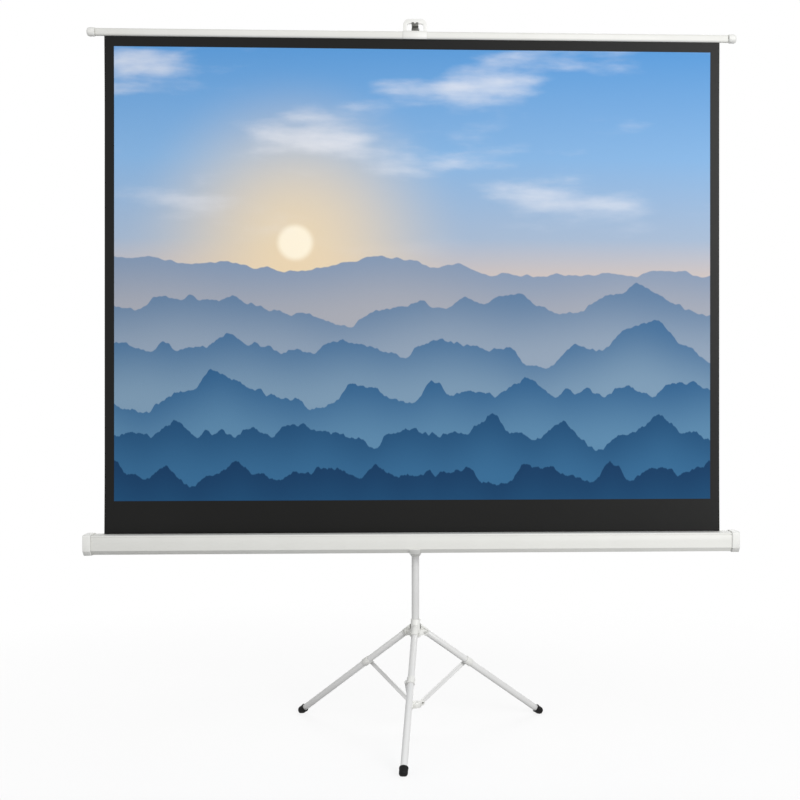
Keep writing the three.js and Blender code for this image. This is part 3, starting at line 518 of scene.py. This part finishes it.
def join_rings(bm, rings):
    """Smooth faces from each ring to the next, and one face at each end."""
    count = len(rings[0])
    for first, second in zip(rings, rings[1:]):
        for corner in range(count):
            after = (corner + 1) % count
            face = bm.faces.new([first[corner], second[corner], second[after], first[after]])
            face.smooth = True
    bm.faces.new(rings[0])
    bm.faces.new(rings[-1][::-1])
    bmesh.ops.recalc_face_normals(bm, faces=bm.faces)


def wound_cloth(name, materials):
    """The last turns of cloth left on the roller, a spiral from the tube out to the drawn-out sheet."""
    low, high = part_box("fabric_roll")
    tube_low, tube_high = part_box("roller_tube")
    centre_y = (low.y + high.y) / 2
    centre_z = (low.z + high.z) / 2
    inner = (tube_high.y - tube_low.y) / 2 + ROLL_INNER_GAP
    outer = (high.y - low.y) / 2 - ROLL_OUTER_GAP
    growth = outer - ROLL_THICKNESS - inner
    steps = ROLL_TURNS * ROLL_STEPS
    bm = bmesh.new()
    rings = []
    for index in range(steps + 1):
        angle = 2 * math.pi * index / ROLL_STEPS
        near = inner + growth * index / steps
        far = near + ROLL_THICKNESS
        ring = []
        for x, radius in ((low.x, near), (high.x, near), (high.x, far), (low.x, far)):
            y = centre_y + radius * math.cos(angle)
            z = centre_z + radius * math.sin(angle)
            ring.append(bm.verts.new((x, y, z)))
        rings.append(ring)
    join_rings(bm, rings)
    return finish_mesh(name, bm, materials), ROLL_TURNS * math.pi * (inner + outer)


def coil_spring(name, materials):
    """The roller's motor spring, round wire on the place and pitch of its CAD solid."""
    low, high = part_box("roller_spring")
    centre_y = (low.y + high.y) / 2
    centre_z = (low.z + high.z) / 2
    length = high.x - low.x - 2 * SPRING_WIRE
    steps = SPRING_TURNS * SPRING_STEPS
    bm = bmesh.new()
    rings = []
    for index in range(steps + 1):
        angle = 2 * math.pi * index / SPRING_STEPS
        centre = Vector((low.x + SPRING_WIRE + length * index / steps, centre_y, centre_z))
        outward = Vector((0.0, math.cos(angle), math.sin(angle)))
        ring = []
        for side in range(SPRING_SIDES):
            turn = 2 * math.pi * side / SPRING_SIDES
            point = centre + outward * (SPRING_RADIUS + SPRING_WIRE * math.cos(turn))
            ring.append(bm.verts.new(point + Vector((SPRING_WIRE * math.sin(turn), 0.0, 0.0))))
        rings.append(ring)
    join_rings(bm, rings)
    return finish_mesh(name, bm, materials)


def white_floor():
    """White with the object's own soft shadow, and dim to the light it sends back.

    To the camera it is mostly clear before a white world, and it lets the lamps' light through to
    what is below it, so that the legs still show where they fold below it.
    """
    corners = [(x * FLOOR_HALF, y * FLOOR_HALF, 0) for x, y in ((-1, -1), (1, -1), (1, 1), (-1, 1))]
    mesh = bpy.data.meshes.new("floor")
    mesh.from_pydata(corners, [], [(0, 1, 2, 3)])
    g = new_graph("floor_white")
    seen = g.seen_directly()
    g.set(Base_Color=g.spread(seen, DIM_SHARE, 1.0), Roughness=0.9, Specular_IOR_Level=0.0)
    spot = g.node("ShaderNodeNewGeometry").outputs
    away = g.node("ShaderNodeVectorMath", {"operation": "LENGTH"}, {0: spot["Position"]}).outputs["Value"]
    to_camera = g.math("MULTIPLY", g.spread(away, CLEAR_SHARE, 1.0, CLEAR_NEAR, CLEAR_FAR), seen)
    shadow_ray = g.node("ShaderNodeLightPath").outputs["Is Shadow Ray"]
    from_below = g.math("MULTIPLY", shadow_ray, spot["Backfacing"])
    clear = g.node("ShaderNodeBsdfTransparent").outputs[0]
    share = g.math("MAXIMUM", to_camera, from_below)
    blend = g.node("ShaderNodeMixShader", None, {0: share, 1: g.shader.outputs[0], 2: clear})
    g.put(g.tree.nodes["Material Output"].inputs["Surface"], blend.outputs[0])
    mesh.materials.append(g.owner)
    return add_object("floor", mesh)


def area_light(name, place, target, size, power):
    data = bpy.data.lights.new(name, "AREA")
    data.shape = "RECTANGLE"
    data.size, data.size_y = size
    data.energy = power
    made = add_object(name, data)
    made.location = place
    made.rotation_euler = (Vector(target) - Vector(place)).to_track_quat("-Z", "Y").to_euler()


# Materials, one for each slot of the record, another for the tubes that slide, and the cloth's sides
# The cloth's front carries the picture as painted projector light
picture_side = picture_material("picture_cloth")
back_side = black_cloth("cloth_back")
slot_materials = {
    "white_paint": painted(
        "white_paint", "e8e8e7", "dededd", PALE_DUST_AND_SHADE, roughness=0.3, grain=500.0, depth=0.0002, coat=0.3
    ),
    "case_lacquer": painted(
        "case_lacquer", "e7e7e3", "deded9", PALE_DUST_AND_SHADE, roughness=0.45, grain=700.0, depth=0.0002,
        specular=0.35, stretch=ALONG_X,
    ),
    "white_plastic": painted(
        "white_plastic", "ededea", "e3e3df", "b2b0a8", roughness=0.45, grain=1800.0, depth=0.0001
    ),
    "grey_plastic": painted(
        "grey_plastic", "62625d", "555550", "7c7a74", roughness=0.5, grain=1800.0, depth=0.0001
    ),
    "black_plastic": painted(
        "black_plastic", "2a2a2a", "202020", "45443f", roughness=0.5, grain=1800.0, depth=0.0001
    ),
    "rubber": rubber("rubber"),
    "steel": steel("steel"),
    "cloth": back_side,
}
tube_paint = painted(
    "tube_paint", "e8e8e7", "dcdcdb", PALE_DUST_AND_SHADE, roughness=0.3, grain=900.0, depth=0.0002, coat=0.3,
    stretch=ALONG_Z,
)
node_materials = {"column_tube": tube_paint, "mast_tube": tube_paint}
for entry in frame["record"]["subparts"]:
    node = entry["node"]
    finish_node(nodes[node], node_materials.get(node, slot_materials[entry["material_slot"]]))

# The drawn-out cloth in two sheets, the upper one on the slat's body and the lower one on the case's
cloth_materials = [picture_side, back_side]
hem_top = SLAT_BOTTOM + HEM_IN_SLAT
upper = cloth_sheet("cloth_upper", SEAM, hem_top, 1, cloth_materials)
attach(upper, "slat")
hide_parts("screen_fabric")
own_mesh(upper)

lap_top = SEAM + SEAM_LAP
lower = cloth_sheet("cloth_lower", CLOTH_LOW.z, lap_top, -1, cloth_materials)
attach(lower, "case")
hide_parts("screen_fabric")
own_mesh(lower)

# What the case hides: the cloth that is still wound up, and the spring that winds it
roll, wound_length = wound_cloth("cloth_roll", [back_side])
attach(roll, "roller")
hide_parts("fabric_roll")

spring = coil_spring("motor_spring", [slot_materials["steel"]])
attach(spring, "case")
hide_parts("roller_spring")

# Floor, world, lamps and camera
white_floor()

world = bpy.data.worlds.new("studio")
bpy.context.scene.world = world
sky_light = Graph(world)
sky_light.set(Color=WHITE, Strength=sky_light.spread(sky_light.seen_directly(), DIM_SHARE, 1.0))

for lamp in LAMPS:
    area_light(*lamp)

camera_data = bpy.data.cameras.new("camera")
camera_data.sensor_width = CAMERA_SENSOR
camera_data.lens = CAMERA_LENS
camera_data.shift_x, camera_data.shift_y = CAMERA_SHIFT
camera_data.clip_end = CAMERA_REACH
camera = add_object("camera", camera_data)
camera.location = CAMERA_PLACE
camera.rotation_euler = Vector(CAMERA_AIM).to_track_quat("-Z", "Y").to_euler()
bpy.context.scene.camera = camera
bpy.context.scene.view_settings.view_transform = "Standard"

bpy.context.view_layer.update()
